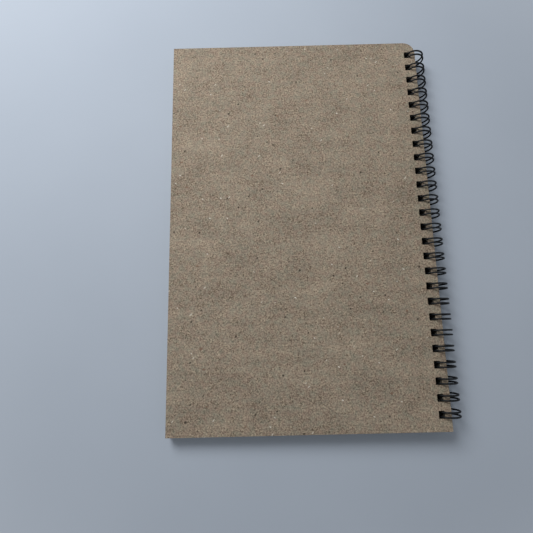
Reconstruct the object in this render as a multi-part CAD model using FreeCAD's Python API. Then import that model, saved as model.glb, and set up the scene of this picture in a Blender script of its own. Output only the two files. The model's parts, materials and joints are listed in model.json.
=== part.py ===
import FreeCAD, Part
import math
import os

# Wire-bound notebook lying shut on a table: X across the cover with the bound edge at +X,
# Y along the binding with the head of the sheets at +Y, Z up. Millimetres.
V = FreeCAD.Vector
Y = V(0, 1, 0)

# Covers and sheets
SHEET_W = 149.5
SHEET_H = 228.6
COVER_T = 1.0
BLOCK_T = 5.0
BLUNT_R = 7.0

# Twin-loop wire, three loops to the inch, the end loops one pitch from the head and tail
WIRE_D = 0.95
RING_D = 12.2
LOOPS = 26
PITCH = SHEET_H / (LOOPS + 1)
LEG_SPACING = 2.45
CORNER_R = 1.4
LEG_START = 262.0
LEG_END = 233.0 + 360.0

# Punched holes, and the room left round the wire and beside the ring axis
PUNCH_X = 3.2
PUNCH_Y = 4.0
PUNCH_R = 0.4
WIRE_ROOM = 0.15
EDGE_ROOM = 0.15

# Sizes that follow from the ones above
STACK_T = 2 * COVER_T + BLOCK_T
RING_R = (RING_D - WIRE_D) / 2
RING_Z = RING_D / 2
TILT = math.asin((RING_Z - STACK_T / 2) / (SHEET_W + EDGE_ROOM))
FORE_REACH = (SHEET_W + EDGE_ROOM) * math.cos(TILT) + STACK_T / 2 * math.sin(TILT)
RING_X = (FORE_REACH - RING_D / 2) / 2
EDGE_X = RING_X - EDGE_ROOM
WIRE_INSIDE = math.sqrt((RING_D / 2 - WIRE_D) ** 2 - (STACK_T / 2) ** 2)
PUNCH_END_X = RING_X - WIRE_INSIDE + WIRE_ROOM
LOOP_YS = [(i - (LOOPS - 1) / 2) * PITCH for i in range(LOOPS)]


# Flat outline of a sheet, square but for the blunted head corner beside the binding
def sheet_outline(z):
    x0, x1, h, r = EDGE_X - SHEET_W, EDGE_X, SHEET_H / 2, BLUNT_R
    bow = r * (1 - math.sqrt(0.5))
    blunt = Part.Arc(V(x1, h - r, z), V(x1 - bow, h - bow, z), V(x1 - r, h, z)).toShape()
    corners = [V(x1 - r, h, z), V(x0, h, z), V(x0, -h, z), V(x1, -h, z), V(x1, h - r, z)]
    sides = [Part.makeLine(a, b) for a, b in zip(corners, corners[1:])]
    return Part.Wire([blunt] + sides)


# One punched hole with its small round corners, reaching past both faces of the sheet
def punch(y, z, thick):
    box = Part.makeBox(PUNCH_X, PUNCH_Y, thick + 2, V(PUNCH_END_X - PUNCH_X, y - PUNCH_Y / 2, z - 1))
    upright = [e for e in box.Edges if abs(e.Vertexes[0].Z - e.Vertexes[1].Z) > 1]
    return box.makeFillet(PUNCH_R, upright)


# A punched sheet or block of sheets, tipped about the ring axis so that the fore-edge rests
def punched_sheet(z_low, thick):
    z = RING_Z + z_low
    body = Part.Face(sheet_outline(z)).extrude(V(0, 0, thick))
    body = body.cut([punch(y, z, thick) for y in LOOP_YS])
    body.rotate(V(RING_X, 0, RING_Z), Y, -math.degrees(TILT))
    return body.Solids[0]


# Point on the ring's centre line, the angle counted from +X towards +Z
def on_ring(angle, y):
    a = math.radians(angle)
    return V(RING_X + RING_R * math.cos(a), y, RING_Z + RING_R * math.sin(a))


def along_ring(angle):
    a = math.radians(angle)
    return V(-math.sin(a), 0, math.cos(a))


def leg(y, start, end):
    return Part.Arc(on_ring(start, y), on_ring((start + end) / 2, y), on_ring(end, y)).toShape()


# Round end of a finger, joining its two legs
def finger_tip(y):
    half = LEG_SPACING / 2
    top = on_ring(LEG_END, y) + along_ring(LEG_END) * half
    return Part.Arc(on_ring(LEG_END, y - half), top, on_ring(LEG_END, y + half)).toShape()


# Straight link with two round corners, joining one finger to the next
def link(y):
    half, r = LEG_SPACING / 2, CORNER_R
    back = along_ring(LEG_START) * -1
    a, b = on_ring(LEG_START, y + half), on_ring(LEG_START, y + PITCH - half)
    mid_a = a + Y * r + (back - Y) * (r * math.sqrt(0.5))
    mid_b = b - Y * r + (back + Y) * (r * math.sqrt(0.5))
    end_a, end_b = a + (Y + back) * r, b + (back - Y) * r
    return [
        Part.Arc(a, mid_a, end_a).toShape(),
        Part.makeLine(end_a, end_b),
        Part.Arc(end_b, mid_b, b).toShape(),
    ]


# The whole binding is one wire bent to and fro
def twin_loop_wire():
    half = LEG_SPACING / 2
    path = []
    for i, y in enumerate(LOOP_YS):
        path += [leg(y - half, LEG_START, LEG_END), finger_tip(y), leg(y + half, LEG_END, LEG_START)]
        if i < LOOPS - 1:
            path += link(y)
    start = on_ring(LEG_START, LOOP_YS[0] - half)
    section = Part.Wire([Part.Circle(start, along_ring(LEG_START), WIRE_D / 2).toShape()])
    return Part.Wire(path).makePipe(Part.Face(section))


os.makedirs("parts", exist_ok=True)
parts = {
    "front_cover": punched_sheet(-STACK_T / 2, COVER_T),
    "page_block": punched_sheet(-BLOCK_T / 2, BLOCK_T),
    "back_cover": punched_sheet(BLOCK_T / 2, COVER_T),
    "twin_loop_wire": twin_loop_wire(),
}
for name, shape in parts.items():
    shape.exportStep("parts/" + name + ".step")
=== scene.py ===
import bpy
import json
import math
import numpy as np
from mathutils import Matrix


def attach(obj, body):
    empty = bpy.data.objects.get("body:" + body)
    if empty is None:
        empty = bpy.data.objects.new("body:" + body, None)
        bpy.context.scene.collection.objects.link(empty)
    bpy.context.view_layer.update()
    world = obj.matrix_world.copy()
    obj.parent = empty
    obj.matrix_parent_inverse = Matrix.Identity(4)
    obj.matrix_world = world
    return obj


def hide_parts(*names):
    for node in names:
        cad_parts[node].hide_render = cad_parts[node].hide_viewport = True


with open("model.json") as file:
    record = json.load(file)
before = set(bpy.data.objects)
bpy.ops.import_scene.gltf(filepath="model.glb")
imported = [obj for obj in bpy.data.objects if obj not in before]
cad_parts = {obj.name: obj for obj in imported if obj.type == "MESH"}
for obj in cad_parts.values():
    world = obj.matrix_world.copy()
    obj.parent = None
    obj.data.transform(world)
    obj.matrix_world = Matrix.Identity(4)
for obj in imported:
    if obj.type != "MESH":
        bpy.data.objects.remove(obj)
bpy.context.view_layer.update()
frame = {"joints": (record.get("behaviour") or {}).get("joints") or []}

# Sizes in metres and angles in degrees: two covers and a block of sheets, all punched alike, on
# one twin-loop wire. Its legs start and end at angles counted from +x towards +z.
MM = 0.001
SHEET_W = 149.5 * MM
SHEET_H = 228.6 * MM
COVER_T = 1.0 * MM
BLOCK_T = 5.0 * MM
BLUNT_R = 7.0 * MM
LOOPS = 26
PITCH = SHEET_H / (LOOPS + 1)
WIRE_D = 0.95 * MM
RING_D = 12.2 * MM
LEG_SPACING = 2.45 * MM
CORNER_R = 1.4 * MM
LEG_START = 262.0
LEG_END = 233.0 + 360.0
PUNCH_X = 3.2 * MM
PUNCH_Y = 4.0 * MM
PUNCH_R = 0.4 * MM
WIRE_ROOM = 0.15 * MM
EDGE_ROOM = 0.15 * MM

# The meshes: the loose sheets in the block, how far the strip of fine faces reaches past the
# holes, and the rounding of a board's cut edges.
SHEETS = 50
STRIP_ROOM = 2.5 * MM
CUT_ROUND = 0.07 * MM

# The photograph's own view: a 25 mm lens, 21 cm over the table, tipped a little from square. The
# focal length is in pixels of the photograph, whose side is PHOTO_PX. And the pale backdrop.
PHOTO_PX = 533
FOCAL_PX = 370
CAMERA_AT = (-0.02647, -0.06053, 0.21198)
CAMERA_TILT = (9.867, -0.883, -1.178)
BACKDROP = "#cad1da"

# The ring's axis is the joints' axis. The sheets lean about it by TILT, in radians, so that the
# fore-edge rests. PUNCH_END is the side of a hole nearer the axis, which is at 0, and LOOP_V the
# loops' places along it.
joint_pos = frame["joints"][0]["pos_m"]
RING_X, RING_Z = joint_pos[0], joint_pos[2]
RING_R = (RING_D - WIRE_D) / 2
STACK_T = 2 * COVER_T + BLOCK_T
TILT = math.asin((RING_Z - STACK_T / 2) / (SHEET_W + EDGE_ROOM))
PUNCH_END = -math.sqrt((RING_D / 2 - WIRE_D) ** 2 - (STACK_T / 2) ** 2) + WIRE_ROOM
LOOP_V = (np.arange(LOOPS) - (LOOPS - 1) / 2) * PITCH


def in_place(u, v, w):
    """Points of the shut stack, u across from the ring's axis, v along it and w above it,
    turned about the axis by TILT and moved to where the notebook lies."""
    x = RING_X + u * math.cos(TILT) - w * math.sin(TILT)
    z = RING_Z + u * math.sin(TILT) + w * math.cos(TILT)
    return np.stack(np.broadcast_arrays(x, v, z), axis=-1)


def mesh_piece(name, points, faces, materials, slots=0, smooth=False):
    """Merges points that fall in one place (to a tenth of a micron), drops faces that close up,
    and puts the rest into a mesh object at the origin. slots gives each face its material."""
    keys = np.round(points.reshape(-1, 3) / 1e-7).astype(np.int64)
    _, first, back = np.unique(keys, axis=0, return_index=True, return_inverse=True)
    faces = back.reshape(-1)[faces]
    ordered = np.sort(faces, axis=1)
    keep = (np.diff(ordered, axis=1) > 0).all(axis=1)
    mesh = bpy.data.meshes.new(name)
    mesh.from_pydata(points.reshape(-1, 3)[first].tolist(), [], faces[keep].tolist())
    mesh.polygons.foreach_set("use_smooth", np.full(len(mesh.polygons), smooth))
    mesh.polygons.foreach_set("material_index", np.broadcast_to(slots, len(faces))[keep].astype(np.int32))
    for material in materials:
        mesh.materials.append(material)
    mesh.update()
    piece = bpy.data.objects.new(name, mesh)
    bpy.context.scene.collection.objects.link(piece)
    return piece


def grid_faces(rows, cols, closed=False):
    """Four-sided faces of a grid of rows by cols points; closed joins the last column to the first."""
    r, c = np.meshgrid(np.arange(rows - 1), np.arange(cols if closed else cols - 1), indexing="ij")
    d = (c + 1) % cols
    quads = np.stack([r * cols + c, r * cols + d, (r + 1) * cols + d, (r + 1) * cols + c], axis=-1)
    return quads.reshape(-1, 4)


def blunted(u, v):
    """Plan points with the head corner beside the binding rounded off: past the inner line of the
    punched strip each row is drawn in, so that its outer end falls on the corner's arc."""
    reach = np.clip(v - (SHEET_H / 2 - BLUNT_R), 0, BLUNT_R)
    pull = BLUNT_R - np.sqrt(BLUNT_R**2 - reach**2)
    inner_u = PUNCH_END - PUNCH_X - STRIP_ROOM
    share = np.clip((u - inner_u) / (-EDGE_ROOM - inner_u), 0, 1)
    return np.stack([u - pull * share, v], axis=-1)


def punch_loop():
    """One hole's outline about its centre, 16 points of a rectangle with round corners: for each
    corner the two ends and the middle of its arc, and the middle of each side. And the loop of
    the cell round the hole, with its points opposite the hole's."""
    a, b, r = PUNCH_X / 2, PUNCH_Y / 2, PUNCH_R
    k = r * (1 - math.sqrt(0.5))
    hole_u = [a, a, a - k, a - r, 0, -a + r, -a + k, -a, -a, -a, -a + k, -a + r, 0, a - r, a - k, a]
    hole_v = [0, b - r, b - k, b, b, b, b - k, b - r, 0, -b + r, -b + k, -b, -b, -b, -b + k, -b + r]
    out, inn, half = -EDGE_ROOM - PUNCH_END + a, a + STRIP_ROOM, PITCH / 2
    cell_u = [out, out, out, a - r, 0, -a + r, -inn, -inn, -inn, -inn, -inn, -a + r, 0, a - r, out, out]
    cell_v = [0, b - r, half, half, half, half, half, b - r, 0, -b + r]
    cell_v += [-half, -half, -half, -half, -half, -b + r]
    return np.array([hole_u, hole_v]), np.array([cell_u, cell_v])


def sheet_plan(columns):
    """The sheet seen from above, as points and faces: a grid from the fore-edge to the punched
    strip, a ring of faces between each hole and its cell, and a short grid at the head and tail.
    Returns the outline too, as one loop of points, counter-clockwise from the tail at the
    binding, and one loop for each hole."""
    hole, cell = punch_loop()
    centre_u = PUNCH_END - PUNCH_X / 2
    inner_u = PUNCH_END - PUNCH_X - STRIP_ROOM
    b = PUNCH_Y / 2 - PUNCH_R
    rows = (LOOP_V[:, None] + np.array([-PITCH / 2, -b, 0, b])).ravel()
    start = math.asin((LOOP_V[-1] + PITCH / 2 - SHEET_H / 2 + BLUNT_R) / BLUNT_R)
    head = SHEET_H / 2 - BLUNT_R + BLUNT_R * np.sin(np.linspace(start, math.pi / 2, 9))
    tail = np.linspace(-SHEET_H / 2, rows[0], 3)
    rows = np.concatenate([tail[:-1], rows, head])
    main_u = np.linspace(-EDGE_ROOM - SHEET_W, inner_u, columns)
    half = PUNCH_X / 2 - PUNCH_R
    strip_u = np.array([inner_u, centre_u - half, centre_u, centre_u + half, -EDGE_ROOM])
    points, faces = [], []

    def add(u, v, f):
        faces.append(f + sum(len(p) for p in points))
        points.append(blunted(u, v).reshape(-1, 2))

    for us, vs in ((main_u, rows), (strip_u, tail), (strip_u, head)):
        u, v = np.meshgrid(us, vs)
        add(u, v, grid_faces(len(vs), len(us)))
    # Two rings of faces to a cell: a narrow one round the hole, and one out to the cell's edge.
    steps = np.array([0.0, 0.22, 1.0])[:, None, None]
    ring = hole + steps * (cell - hole)
    for v0 in LOOP_V:
        add(ring[:, 0] + centre_u, ring[:, 1] + v0, grid_faces(3, hole.shape[1], True)[:, ::-1])

    # Up the bound edge, back along the head, down the fore-edge and out along the tail.
    across = np.concatenate([main_u[:-1], strip_u])
    fore_u, head_v = np.full(len(rows) - 1, across[0]), np.full(len(across) - 1, SHEET_H / 2)
    loop_u = np.concatenate([np.full(len(rows), -EDGE_ROOM), across[-2::-1], fore_u, across[1:-1]])
    loop_v = np.concatenate([rows, head_v, rows[-2::-1], -head_v[1:]])
    holes = [blunted(hole[0] + centre_u, hole[1] + v0) for v0 in LOOP_V]
    return np.concatenate(points), np.concatenate(faces), blunted(loop_u, loop_v), holes


def outward(loop):
    """Unit vectors square to a closed loop, pointing to the right of its direction of travel."""
    along = np.roll(loop, -1, axis=0) - np.roll(loop, 1, axis=0)
    along /= np.linalg.norm(along, axis=1)[:, None]
    return np.stack([along[:, 1], -along[:, 0]], axis=-1)


def cover(name, w_low, materials):
    """A punched board: the plan as its lower face, the same plan turned over as its upper face,
    and a wall down every edge, in the second material, or in a hole the third. A bevel rounds
    the cut edges."""
    plan, quads, outline, holes = sheet_plan(12)
    n = len(plan)
    low = in_place(plan[:, 0], plan[:, 1], w_low)
    high = in_place(plan[:, 0], plan[:, 1], w_low + COVER_T)
    points, faces = [low, high], [quads[:, ::-1], quads + n]
    count = 2 * n
    for loop in [outline] + holes:
        side = grid_faces(2, len(loop), True)
        wall = in_place(loop[:, 0], loop[:, 1], np.array([[w_low], [w_low + COVER_T]]))
        points.append(wall.reshape(-1, 3))
        faces.append((side if loop is outline else side[:, ::-1]) + count)
        count += wall.shape[0] * wall.shape[1]
    faces = np.concatenate(faces)
    bored = sum(len(loop) for loop in holes)
    slots = np.repeat([0, 1, 2], [2 * len(quads), len(outline), bored])
    piece = mesh_piece(name, np.concatenate(points), faces, materials, slots)
    bevel = piece.modifiers.new("cut edge", "BEVEL")
    bevel.width = CUT_ROUND
    bevel.segments = 2
    bevel.limit_method = "ANGLE"
    bevel.angle_limit = math.radians(60)
    return piece


def page_block(name, materials):
    """The loose sheets between the covers: a plain sheet at top and bottom, and a wall whose
    profile steps in by a hair between each sheet and the next, carried round the outline. Every
    sheet stands a little in or out by its own amount, which drifts slowly along each edge. The
    stacked edges take the second material and the holes' walls the third."""
    rng = np.random.default_rng(7)
    plan, quads, outline, holes = sheet_plan(40)
    n = len(plan)
    levels = np.linspace(-BLOCK_T / 2, BLOCK_T / 2, 2 * SHEETS + 1)
    normal = outward(outline)
    sweep = np.linspace(0, 2 * math.pi, len(outline), endpoint=False)
    # Depths in millimetres: how far each sheet stands in, a slow drift along the edge that starts
    # anywhere in its wave, and the grooves between the sheets.
    groove = 0.14
    setback = rng.normal(0.05, 0.03, SHEETS).clip(0, 0.12)[:, None]
    drift = 0.02 * np.sin(3 * sweep + rng.uniform(0, 6.28, (SHEETS, 1)))
    depth = np.full((len(levels), len(outline)), groove)
    depth[1::2] = (setback + drift).clip(0, groove)
    depth[[0, -1]] = 0
    wall_uv = outline - normal * (depth[..., None] * MM)
    wall = in_place(wall_uv[..., 0], wall_uv[..., 1], levels[:, None])
    low = in_place(plan[:, 0], plan[:, 1], levels[0])
    high = in_place(plan[:, 0], plan[:, 1], levels[-1])
    points = [low, high, wall.reshape(-1, 3)]
    faces = [quads[:, ::-1], quads + n, grid_faces(len(levels), len(outline), True) + 2 * n]
    count = 2 * n + wall.shape[0] * wall.shape[1]
    for loop in holes:
        tube = in_place(loop[:, 0], loop[:, 1], levels[[0, -1]][:, None])
        points.append(tube.reshape(-1, 3))
        faces.append(grid_faces(2, len(loop), True)[:, ::-1] + count)
        count += 2 * len(loop)
    faces = np.concatenate(faces)
    bored = sum(len(loop) for loop in holes)
    slots = np.repeat([0, 1, 2], [2 * len(quads), len(faces) - 2 * len(quads) - bored, bored])
    return mesh_piece(name, np.concatenate(points), faces, materials, slots)


def wire_path():
    """The bent wire's centre line as arrays: points, directions of travel, and the direction out
    of the ring. Each finger is an arc of the ring, a half circle of its tip and the arc back;
    between fingers come a quarter circle, a straight link and another quarter circle. The flat
    bends lie in the plane that touches the ring where the legs end."""
    half, r = LEG_SPACING / 2, CORNER_R
    up = np.array([0.0, 1.0, 0.0])

    def ring(angle):
        a = np.radians(np.atleast_1d(angle))
        out = np.stack([np.cos(a), 0 * a, np.sin(a)], axis=-1)
        return out, np.stack([-np.sin(a), 0 * a, np.cos(a)], axis=-1)

    axis = np.array([RING_X, 0.0, RING_Z])
    out_leg, way_leg = ring(np.linspace(LEG_START, LEG_END, 57))
    leg_points = axis + RING_R * out_leg
    bend = np.linspace(0, math.pi, 13)[1:-1, None]
    quarter = np.linspace(0, math.pi / 2, 7)[1:, None]
    out_tip, way_tip = out_leg[-1], way_leg[-1]
    out_root, way_root = out_leg[0], way_leg[0]
    tip = leg_points[-1] + half * (np.sin(bend) * way_tip - np.cos(bend) * up)
    tip_way = np.cos(bend) * way_tip + np.sin(bend) * up
    first = leg_points[0] + half * up + r * (up - np.cos(quarter) * up - np.sin(quarter) * way_root)
    first_way = np.sin(quarter) * up - np.cos(quarter) * way_root
    second = r * (np.cos(quarter) * up - up - np.sin(quarter) * way_root)
    second = leg_points[0] + (PITCH - half) * up + second
    second_way = np.sin(quarter) * up + np.cos(quarter) * way_root
    points = [leg_points - half * up, tip, (leg_points + half * up)[::-1], first, second[::-1]]
    ways = [way_leg, tip_way, -way_leg[::-1], first_way, second_way[::-1]]
    outs = [out_leg, np.tile(out_tip, (len(tip), 1)), out_leg[::-1]]
    outs += [np.tile(out_root, (len(first), 1)), np.tile(out_root, (len(second), 1))]
    finger, way, out = (np.concatenate(p) for p in (points, ways, outs))
    finger = finger[None] + LOOP_V[:, None, None] * up
    cut = 2 * len(quarter)
    return (
        finger.reshape(-1, 3)[:-cut],
        np.tile(way, (LOOPS, 1))[:-cut],
        np.tile(out, (LOOPS, 1))[:-cut],
    )


def wire(name, material, sides=14):
    """A round section carried along the wire's path: centre + radius (cos t . out + sin t . across),
    where across is square to the path and to out. Each cut end narrows in a small dome, closed
    by a ladder of faces across its last ring."""
    centre, way, out = wire_path()
    across = np.cross(way, out)
    ends = np.array([1.0, 0.8, 0.45, 0.2])
    dome = 0.35 * WIRE_D / 2 * np.array([0.0, 0.6, 0.9, 1.0])
    before = centre[0] - dome[:0:-1, None] * way[0]
    after = centre[-1] + dome[1:, None] * way[-1]
    centre = np.concatenate([before, centre, after])
    extra = ((len(before), len(after)), (0, 0))
    out, across = np.pad(out, extra, "edge"), np.pad(across, extra, "edge")
    radius = np.full(len(centre), WIRE_D / 2)
    radius[: len(ends)] *= ends[::-1]
    radius[-len(ends) :] *= ends
    t = np.linspace(0, 2 * math.pi, sides, endpoint=False)[None, :, None]
    section = np.cos(t) * out[:, None] + np.sin(t) * across[:, None]
    points = centre[:, None] + radius[:, None, None] * section
    rung = np.arange(sides // 2 - 1)
    lid = np.stack([rung, rung + 1, sides - 2 - rung, sides - 1 - rung], axis=-1)
    last = (len(centre) - 1) * sides
    faces = np.concatenate([grid_faces(len(centre), sides, True), lid[:, ::-1], lid + last])
    return mesh_piece(name, points.reshape(-1, 3), faces, [material], smooth=True)


def linear(hex_colour):
    """An sRGB hex colour as linear red, green, blue and 1."""
    parts = [int(hex_colour[i : i + 2], 16) / 255 for i in (1, 3, 5)]
    return [c / 12.92 if c <= 0.04045 else ((c + 0.055) / 1.055) ** 2.4 for c in parts] + [1.0]


def add_node(tree, kind, links=None, **settings):
    """Adds a node, sets its properties, and fills its inputs from links: a socket is linked and
    anything else becomes the input's value."""
    made = tree.nodes.new(kind)
    for key, value in settings.items():
        setattr(made, key, value)
    for key, value in (links or {}).items():
        if isinstance(value, bpy.types.NodeSocket):
            tree.links.new(value, made.inputs[key])
        else:
            made.inputs[key].default_value = value
    return made


def new_material(name):
    """A material with one Principled shader, and Object coordinates turned by TILT, so that x and
    y run along the sheets and z straight through them."""
    material = bpy.data.materials.new(name)
    material.use_nodes = True
    tree = material.node_tree
    tree.nodes.clear()
    shader = add_node(tree, "ShaderNodeBsdfPrincipled")
    add_node(tree, "ShaderNodeOutputMaterial", {"Surface": shader.outputs[0]})
    place = add_node(tree, "ShaderNodeTexCoord").outputs["Object"]
    level = add_node(tree, "ShaderNodeMapping", {"Vector": place, "Rotation": (0, TILT, 0)}).outputs[0]
    return material, tree, shader, level


def per_mm(size):
    """Texture scale that gives features of about size millimetres."""
    return 1000.0 / size


def recycled_board():
    """Unbleached board of mixed waste paper, pressed between felts and left uncoated: dull and
    gritty, grey-brown, with dark specks of old ink and bark and a few pale short fibres."""
    material, tree, shader, level = new_material("recycled grey-brown board")
    grit = add_node(
        tree,
        "ShaderNodeTexNoise",
        {"Vector": level, "Scale": per_mm(0.85), "Detail": 4.0, "Roughness": 0.75},
    )
    clouds = add_node(
        tree, "ShaderNodeTexNoise", {"Vector": level, "Scale": per_mm(13), "Detail": 3.0, "Roughness": 0.55}
    )
    # The felt leaves faint bands across the sheet, some 6 mm apart and long in x.
    along = add_node(
        tree, "ShaderNodeMapping", {"Vector": level, "Scale": (per_mm(45), per_mm(6), per_mm(6))}
    )
    bands = add_node(tree, "ShaderNodeTexNoise", {"Vector": along.outputs[0], "Scale": 1.0, "Detail": 2.0})
    tone = add_node(
        tree,
        "ShaderNodeMath",
        {0: clouds.outputs[0], 1: 0.15, 2: grit.outputs[0]},
        operation="MULTIPLY_ADD",
    )
    tone = add_node(
        tree, "ShaderNodeMath", {0: bands.outputs[0], 1: 0.1, 2: tone.outputs[0]}, operation="MULTIPLY_ADD"
    )
    share = add_node(
        tree, "ShaderNodeMapRange", {"Value": tone.outputs[0], "From Min": 0.478, "From Max": 0.777}
    )
    pulp = add_node(
        tree,
        "ShaderNodeMix",
        {"Factor": share.outputs[0], "A": linear("#473a2e"), "B": linear("#b9a993")},
        data_type="RGBA",
    )
    # Waste papers that never quite mixed: here a little greyer and greener, there a little redder.
    mixed = add_node(
        tree, "ShaderNodeTexNoise", {"Vector": level, "Scale": per_mm(3.2), "Detail": 3.0, "Roughness": 0.6}
    )
    waste = add_node(tree, "ShaderNodeSeparateColor", {"Color": mixed.outputs["Color"]})
    for channel, tint in ((0, "#7e8274"), (1, "#907a6d")):
        amount = add_node(
            tree,
            "ShaderNodeMapRange",
            {"Value": waste.outputs[channel], "From Min": 0.4, "From Max": 0.65, "To Max": 0.4},
        )
        pulp = add_node(
            tree,
            "ShaderNodeMix",
            {"Factor": amount.outputs[0], "A": pulp.outputs["Result"], "B": linear(tint)},
            data_type="RGBA",
        )

    # Specks lie in the flat of the sheet, so they come from flat patterns; each face's own height
    # slides them, so that no two faces are alike, and a fine noise makes them ragged.
    height = add_node(tree, "ShaderNodeSeparateXYZ", {"Vector": level}).outputs["Z"]
    slide = add_node(tree, "ShaderNodeCombineXYZ", {"X": height, "Y": height})
    spread = add_node(
        tree,
        "ShaderNodeVectorMath",
        {0: slide.outputs[0], 1: (37, 53, 0), 2: level},
        operation="MULTIPLY_ADD",
    )
    ragged = add_node(tree, "ShaderNodeTexNoise", {"Vector": level, "Scale": per_mm(0.8), "Detail": 2.0})
    flat = add_node(
        tree,
        "ShaderNodeVectorMath",
        {0: ragged.outputs["Color"], 1: (0.7 * MM, 0.7 * MM, 0), 2: spread.outputs[0]},
        operation="MULTIPLY_ADD",
    )
    colour = pulp.outputs["Result"]
    # Each line: spacing in mm, turn, stretch, radius in cells, share of cells, strength, colour.
    for spacing, turn, stretch, radius, kept, strength, speck in (
        (2.4, 0.3, 1.0, 0.19, 0.25, 0.38, "#40352a"),
        (6.5, 0.9, 1.3, 0.074, 0.14, 0.85, "#2a231b"),
        (4.6, -0.5, 2.0, 0.060, 0.07, 0.75, "#e2dccf"),
        (5.2, 0.8, 3.0, 0.053, 0.08, 0.70, "#d6cfc0"),
        (12.0, 0.1, 1.6, 0.045, 0.20, 0.55, "#6a4433"),
    ):
        turned = add_node(
            tree,
            "ShaderNodeMapping",
            {"Vector": flat.outputs[0], "Rotation": (0, 0, turn), "Scale": (stretch, 1.0, 1.0)},
            vector_type="TEXTURE",
        )
        cells = add_node(
            tree,
            "ShaderNodeTexVoronoi",
            {"Vector": turned.outputs[0], "Scale": per_mm(spacing)},
            voronoi_dimensions="2D",
        )
        chance = add_node(tree, "ShaderNodeSeparateColor", {"Color": cells.outputs["Color"]})
        chosen = add_node(
            tree, "ShaderNodeMath", {0: chance.outputs[0], 1: 1 - kept}, operation="GREATER_THAN"
        )
        reach = add_node(
            tree,
            "ShaderNodeMath",
            {0: chance.outputs[1], 1: -0.5 * radius, 2: cells.outputs["Distance"]},
            operation="MULTIPLY_ADD",
        )
        spot = add_node(
            tree,
            "ShaderNodeMapRange",
            {
                "Value": reach.outputs[0],
                "From Min": 0.35 * radius,
                "From Max": 0.8 * radius,
                "To Min": strength,
                "To Max": 0.0,
            },
        )
        amount = add_node(
            tree, "ShaderNodeMath", {0: spot.outputs[0], 1: chosen.outputs[0]}, operation="MULTIPLY"
        )
        colour = add_node(
            tree,
            "ShaderNodeMix",
            {"Factor": amount.outputs[0], "A": colour, "B": linear(speck)},
            data_type="RGBA",
        ).outputs["Result"]

    dull = add_node(
        tree,
        "ShaderNodeMapRange",
        {"Value": grit.outputs[0], "From Min": 0.3, "From Max": 0.7, "To Min": 0.95, "To Max": 0.8},
    )
    relief = add_node(
        tree, "ShaderNodeBump", {"Height": tone.outputs[0], "Strength": 0.7, "Distance": 0.09 * MM}
    )
    tree.links.new(colour, shader.inputs["Base Color"])
    tree.links.new(dull.outputs[0], shader.inputs["Roughness"])
    tree.links.new(relief.outputs[0], shader.inputs["Normal"])
    shader.inputs["Specular IOR Level"].default_value = 0.3
    return material


def board_cut():
    """The same board where the blade went through it: plies a sixth of a millimetre thick show as
    uneven lines, rougher and a little paler than the face."""
    material, tree, shader, level = new_material("recycled board cut edge")
    along = add_node(
        tree, "ShaderNodeMapping", {"Vector": level, "Scale": (per_mm(5), per_mm(5), per_mm(0.17))}
    )
    plies = add_node(
        tree,
        "ShaderNodeTexNoise",
        {"Vector": along.outputs[0], "Scale": 1.0, "Detail": 3.0, "Roughness": 0.6},
    )
    fuzz = add_node(
        tree, "ShaderNodeTexNoise", {"Vector": level, "Scale": per_mm(0.4), "Detail": 3.0, "Roughness": 0.7}
    )
    tone = add_node(
        tree, "ShaderNodeMath", {0: fuzz.outputs[0], 1: 0.6, 2: plies.outputs[0]}, operation="MULTIPLY_ADD"
    )
    share = add_node(
        tree, "ShaderNodeMapRange", {"Value": tone.outputs[0], "From Min": 0.55, "From Max": 1.05}
    )
    colour = add_node(
        tree,
        "ShaderNodeMix",
        {"Factor": share.outputs[0], "A": linear("#5a4d3d"), "B": linear("#bdb2a1")},
        data_type="RGBA",
    )
    relief = add_node(
        tree, "ShaderNodeBump", {"Height": tone.outputs[0], "Strength": 0.8, "Distance": 0.06 * MM}
    )
    tree.links.new(colour.outputs["Result"], shader.inputs["Base Color"])
    tree.links.new(relief.outputs[0], shader.inputs["Normal"])
    shader.inputs["Roughness"].default_value = 0.93
    shader.inputs["Specular IOR Level"].default_value = 0.25
    return material


def punched_edge_painted_shade(name, dark, pale):
    """The inside of the die-punched holes: the punch packs the fibres and drags them down, which leaves
    upright scratches. The dark and pale tones are painted shade: the walls are coloured dark to stand in
    for the shade deep in the narrow holes, not for dust."""
    material, tree, shader, level = new_material(name)
    along = add_node(
        tree, "ShaderNodeMapping", {"Vector": level, "Scale": (per_mm(0.3), per_mm(0.3), per_mm(4))}
    )
    drag = add_node(
        tree,
        "ShaderNodeTexNoise",
        {"Vector": along.outputs[0], "Scale": 1.0, "Detail": 3.0, "Roughness": 0.6},
    )
    share = add_node(
        tree, "ShaderNodeMapRange", {"Value": drag.outputs[0], "From Min": 0.35, "From Max": 0.65}
    )
    colour = add_node(
        tree,
        "ShaderNodeMix",
        {"Factor": share.outputs[0], "A": linear(dark), "B": linear(pale)},
        data_type="RGBA",
    )
    relief = add_node(
        tree, "ShaderNodeBump", {"Height": drag.outputs[0], "Strength": 0.6, "Distance": 0.03 * MM}
    )
    tree.links.new(colour.outputs["Result"], shader.inputs["Base Color"])
    tree.links.new(relief.outputs[0], shader.inputs["Normal"])
    shader.inputs["Roughness"].default_value = 0.9
    shader.inputs["Specular IOR Level"].default_value = 0.2
    return material


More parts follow.
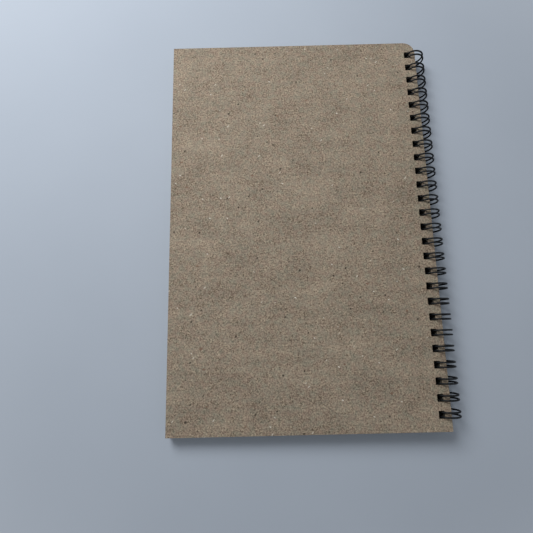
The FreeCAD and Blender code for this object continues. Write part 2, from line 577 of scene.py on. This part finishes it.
def plain_paper():
    """Uncoated wood-free writing paper, blank: a warm off-white, matt, with a fine tooth and, as
    light falls on it, the faintest unevenness where the pulp settled."""
    material, tree, shader, level = new_material("uncoated writing paper")
    fibre = add_node(
        tree, "ShaderNodeTexNoise", {"Vector": level, "Scale": per_mm(0.5), "Detail": 4.0, "Roughness": 0.7}
    )
    settled = add_node(
        tree, "ShaderNodeTexNoise", {"Vector": level, "Scale": per_mm(5), "Detail": 3.0, "Roughness": 0.6}
    )
    tone = add_node(
        tree,
        "ShaderNodeMath",
        {0: settled.outputs[0], 1: 0.6, 2: fibre.outputs[0]},
        operation="MULTIPLY_ADD",
    )
    share = add_node(
        tree, "ShaderNodeMapRange", {"Value": tone.outputs[0], "From Min": 0.5, "From Max": 1.1}
    )
    colour = add_node(
        tree,
        "ShaderNodeMix",
        {"Factor": share.outputs[0], "A": linear("#dedacd"), "B": linear("#ebe8de")},
        data_type="RGBA",
    )
    relief = add_node(
        tree, "ShaderNodeBump", {"Height": tone.outputs[0], "Strength": 0.4, "Distance": 0.02 * MM}
    )
    tree.links.new(colour.outputs["Result"], shader.inputs["Base Color"])
    tree.links.new(relief.outputs[0], shader.inputs["Normal"])
    shader.inputs["Roughness"].default_value = 0.88
    shader.inputs["Specular IOR Level"].default_value = 0.3
    return material


def stacked_edges():
    """The cut edges of the same sheets in a stack: lines a sheet thick and long in the edge, some
    in shade and some proud. Sheets are too thin to show from afar, so every few of them also
    share a tone, in bands of a quarter and half a millimetre."""
    material, tree, shader, level = new_material("stacked paper edges")
    colour = linear("#f0ede4")
    for thick, dark, strength in ((0.1, "#a39d8f", 0.65), (0.25, "#aea89a", 0.4), (0.5, "#bdb7a9", 0.3)):
        along = add_node(
            tree,
            "ShaderNodeMapping",
            {"Vector": level, "Scale": (per_mm(60), per_mm(60), per_mm(1.6 * thick))},
        )
        lines = add_node(
            tree, "ShaderNodeTexNoise", {"Vector": along.outputs[0], "Scale": 1.0, "Detail": 2.0}
        )
        shade = add_node(
            tree,
            "ShaderNodeMapRange",
            {
                "Value": lines.outputs[0],
                "From Min": 0.35,
                "From Max": 0.6,
                "To Min": strength,
                "To Max": 0.0,
            },
        )
        colour = add_node(
            tree,
            "ShaderNodeMix",
            {"Factor": shade.outputs[0], "A": colour, "B": linear(dark)},
            data_type="RGBA",
        ).outputs["Result"]
    relief = add_node(
        tree, "ShaderNodeBump", {"Height": lines.outputs[0], "Strength": 0.5, "Distance": 0.04 * MM}
    )
    tree.links.new(colour, shader.inputs["Base Color"])
    tree.links.new(relief.outputs[0], shader.inputs["Normal"])
    shader.inputs["Roughness"].default_value = 0.92
    shader.inputs["Specular IOR Level"].default_value = 0.25
    return material


def coated_wire():
    """Steel wire dipped in black nylon: a smooth half-gloss skin with a shallow orange peel and
    small dull scuffs."""
    material, tree, shader, level = new_material("black nylon-coated steel wire")
    peel = add_node(
        tree, "ShaderNodeTexNoise", {"Vector": level, "Scale": per_mm(0.7), "Detail": 2.0, "Roughness": 0.5}
    )
    scuff = add_node(
        tree,
        "ShaderNodeTexNoise",
        {"Vector": level, "Scale": per_mm(2.2), "Detail": 5.0, "Roughness": 0.75},
    )
    wear = add_node(
        tree, "ShaderNodeMapRange", {"Value": scuff.outputs[0], "From Min": 0.42, "From Max": 0.68}
    )
    colour = add_node(
        tree,
        "ShaderNodeMix",
        {"Factor": wear.outputs[0], "A": linear("#050607"), "B": linear("#0e1013")},
        data_type="RGBA",
    )
    gloss = add_node(
        tree,
        "ShaderNodeMapRange",
        {"Value": scuff.outputs[0], "From Min": 0.35, "From Max": 0.7, "To Min": 0.38, "To Max": 0.55},
    )
    relief = add_node(
        tree, "ShaderNodeBump", {"Height": peel.outputs[0], "Strength": 0.5, "Distance": 0.02 * MM}
    )
    tree.links.new(colour.outputs["Result"], shader.inputs["Base Color"])
    tree.links.new(gloss.outputs[0], shader.inputs["Roughness"])
    tree.links.new(relief.outputs[0], shader.inputs["Normal"])
    shader.inputs["IOR"].default_value = 1.53
    shader.inputs["Specular IOR Level"].default_value = 0.18
    return material


def floor():
    """A flat pale table top, far wider than the view, that pales into the backdrop far off."""
    material, tree, shader, level = new_material("pale laminate table top")
    haze = add_node(tree, "ShaderNodeTexNoise", {"Vector": level, "Scale": per_mm(90), "Detail": 3.0})
    colour = add_node(
        tree,
        "ShaderNodeMix",
        {"Factor": haze.outputs[0], "A": linear("#a6afbb"), "B": linear("#aeb7c3")},
        data_type="RGBA",
    )
    tree.links.new(colour.outputs["Result"], shader.inputs["Base Color"])
    shader.inputs["Roughness"].default_value = 0.85
    shader.inputs["Specular IOR Level"].default_value = 0.15
    place = add_node(tree, "ShaderNodeTexCoord").outputs["Object"]
    distance = add_node(tree, "ShaderNodeVectorMath", {0: place}, operation="LENGTH")
    far = add_node(
        tree,
        "ShaderNodeMapRange",
        {"Value": distance.outputs["Value"], "From Min": 0.16, "From Max": 0.48},
        interpolation_type="SMOOTHSTEP",
    )
    seen = add_node(tree, "ShaderNodeLightPath")
    seen = add_node(
        tree, "ShaderNodeMath", {0: seen.outputs["Is Camera Ray"], 1: far.outputs[0]}, operation="MULTIPLY"
    )
    glow = add_node(tree, "ShaderNodeEmission", {"Color": linear(BACKDROP)})
    both = add_node(
        tree, "ShaderNodeMixShader", {0: seen.outputs[0], 1: shader.outputs[0], 2: glow.outputs[0]}
    )
    tree.links.new(both.outputs[0], tree.nodes["Material Output"].inputs["Surface"])
    u, v = np.meshgrid([-20.0, 20.0], [-20.0, 20.0])
    points = np.stack([u, v, np.zeros_like(u)], axis=-1)
    return mesh_piece("table_top", points, grid_faces(2, 2), [material])


def light_room():
    """Soft room light; the camera and glossy surfaces see the pale backdrop instead."""
    world = bpy.data.worlds.new("soft room light")
    bpy.context.scene.world = world
    world.use_nodes = True
    tree = world.node_tree
    tree.nodes.clear()
    room = add_node(tree, "ShaderNodeBackground", {"Color": (0.96, 0.98, 1.0, 1.0), "Strength": 0.32})
    backdrop = add_node(tree, "ShaderNodeBackground", {"Color": linear(BACKDROP), "Strength": 1.0})
    ray = add_node(tree, "ShaderNodeLightPath")
    direct = add_node(
        tree,
        "ShaderNodeMath",
        {0: ray.outputs["Is Camera Ray"], 1: ray.outputs["Is Glossy Ray"]},
        operation="MAXIMUM",
    )
    both = add_node(
        tree, "ShaderNodeMixShader", {0: direct.outputs[0], 1: room.outputs[0], 2: backdrop.outputs[0]}
    )
    add_node(tree, "ShaderNodeOutputWorld", {"Surface": both.outputs[0]})


def softbox(name, place, size, power):
    """A square lamp of size metres and power watts at place, turned to face the origin."""
    lamp = bpy.data.lights.new(name, "AREA")
    lamp.shape = "SQUARE"
    lamp.size = size
    lamp.energy = power
    rig = bpy.data.objects.new(name, lamp)
    bpy.context.scene.collection.objects.link(rig)
    rig.location = place
    flat = math.hypot(place[0], place[1])
    rig.rotation_euler = (math.atan2(flat, place[2]), 0, math.atan2(-place[1], -place[0]) - math.pi / 2)


def photo_camera():
    """The camera that took the photograph, as it was fitted to the cover's corners and the loops."""
    camera = bpy.data.objects.new("camera", bpy.data.cameras.new("camera"))
    bpy.context.scene.collection.objects.link(camera)
    camera.data.sensor_width = 36
    camera.data.lens = FOCAL_PX / PHOTO_PX * camera.data.sensor_width
    camera.data.clip_start = 0.01
    camera.location = CAMERA_AT
    camera.rotation_mode = "ZYX"
    camera.rotation_euler = [math.radians(angle) for angle in CAMERA_TILT]
    bpy.context.scene.camera = camera


# The punched walls' dark colours in the third material of each set are painted shade of the narrow holes,
# on the board and on the white paper alike.
boards = [recycled_board(), board_cut(), punched_edge_painted_shade("punched board with painted shade", "#1f1a14", "#3a3127")]
sheets = [plain_paper(), stacked_edges(), punched_edge_painted_shade("punched paper with painted shade", "#3a362f", "#5e594f")]

back = cover("back_cover_board", BLOCK_T / 2, boards)
front = cover("front_cover_board", -STACK_T / 2, boards)
block = page_block("page_sheets", sheets)
loops = wire("twin_loop_wire_coated", coated_wire())

for piece, node, body, slot in (
    (back, "back_cover", "back_cover", "cover_board"),
    (front, "front_cover", "front_cover", "cover_board"),
    (block, "page_block", "page_block", "paper"),
    (loops, "twin_loop_wire", "twin_loop_wire", "coated_wire"),
):
    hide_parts(node)
    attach(piece, body)

bpy.context.scene.view_settings.view_transform = "Standard"
floor()
light_room()
softbox("window light", (-0.28, 0.35, 0.42), 0.3, 3.3)
photo_camera()
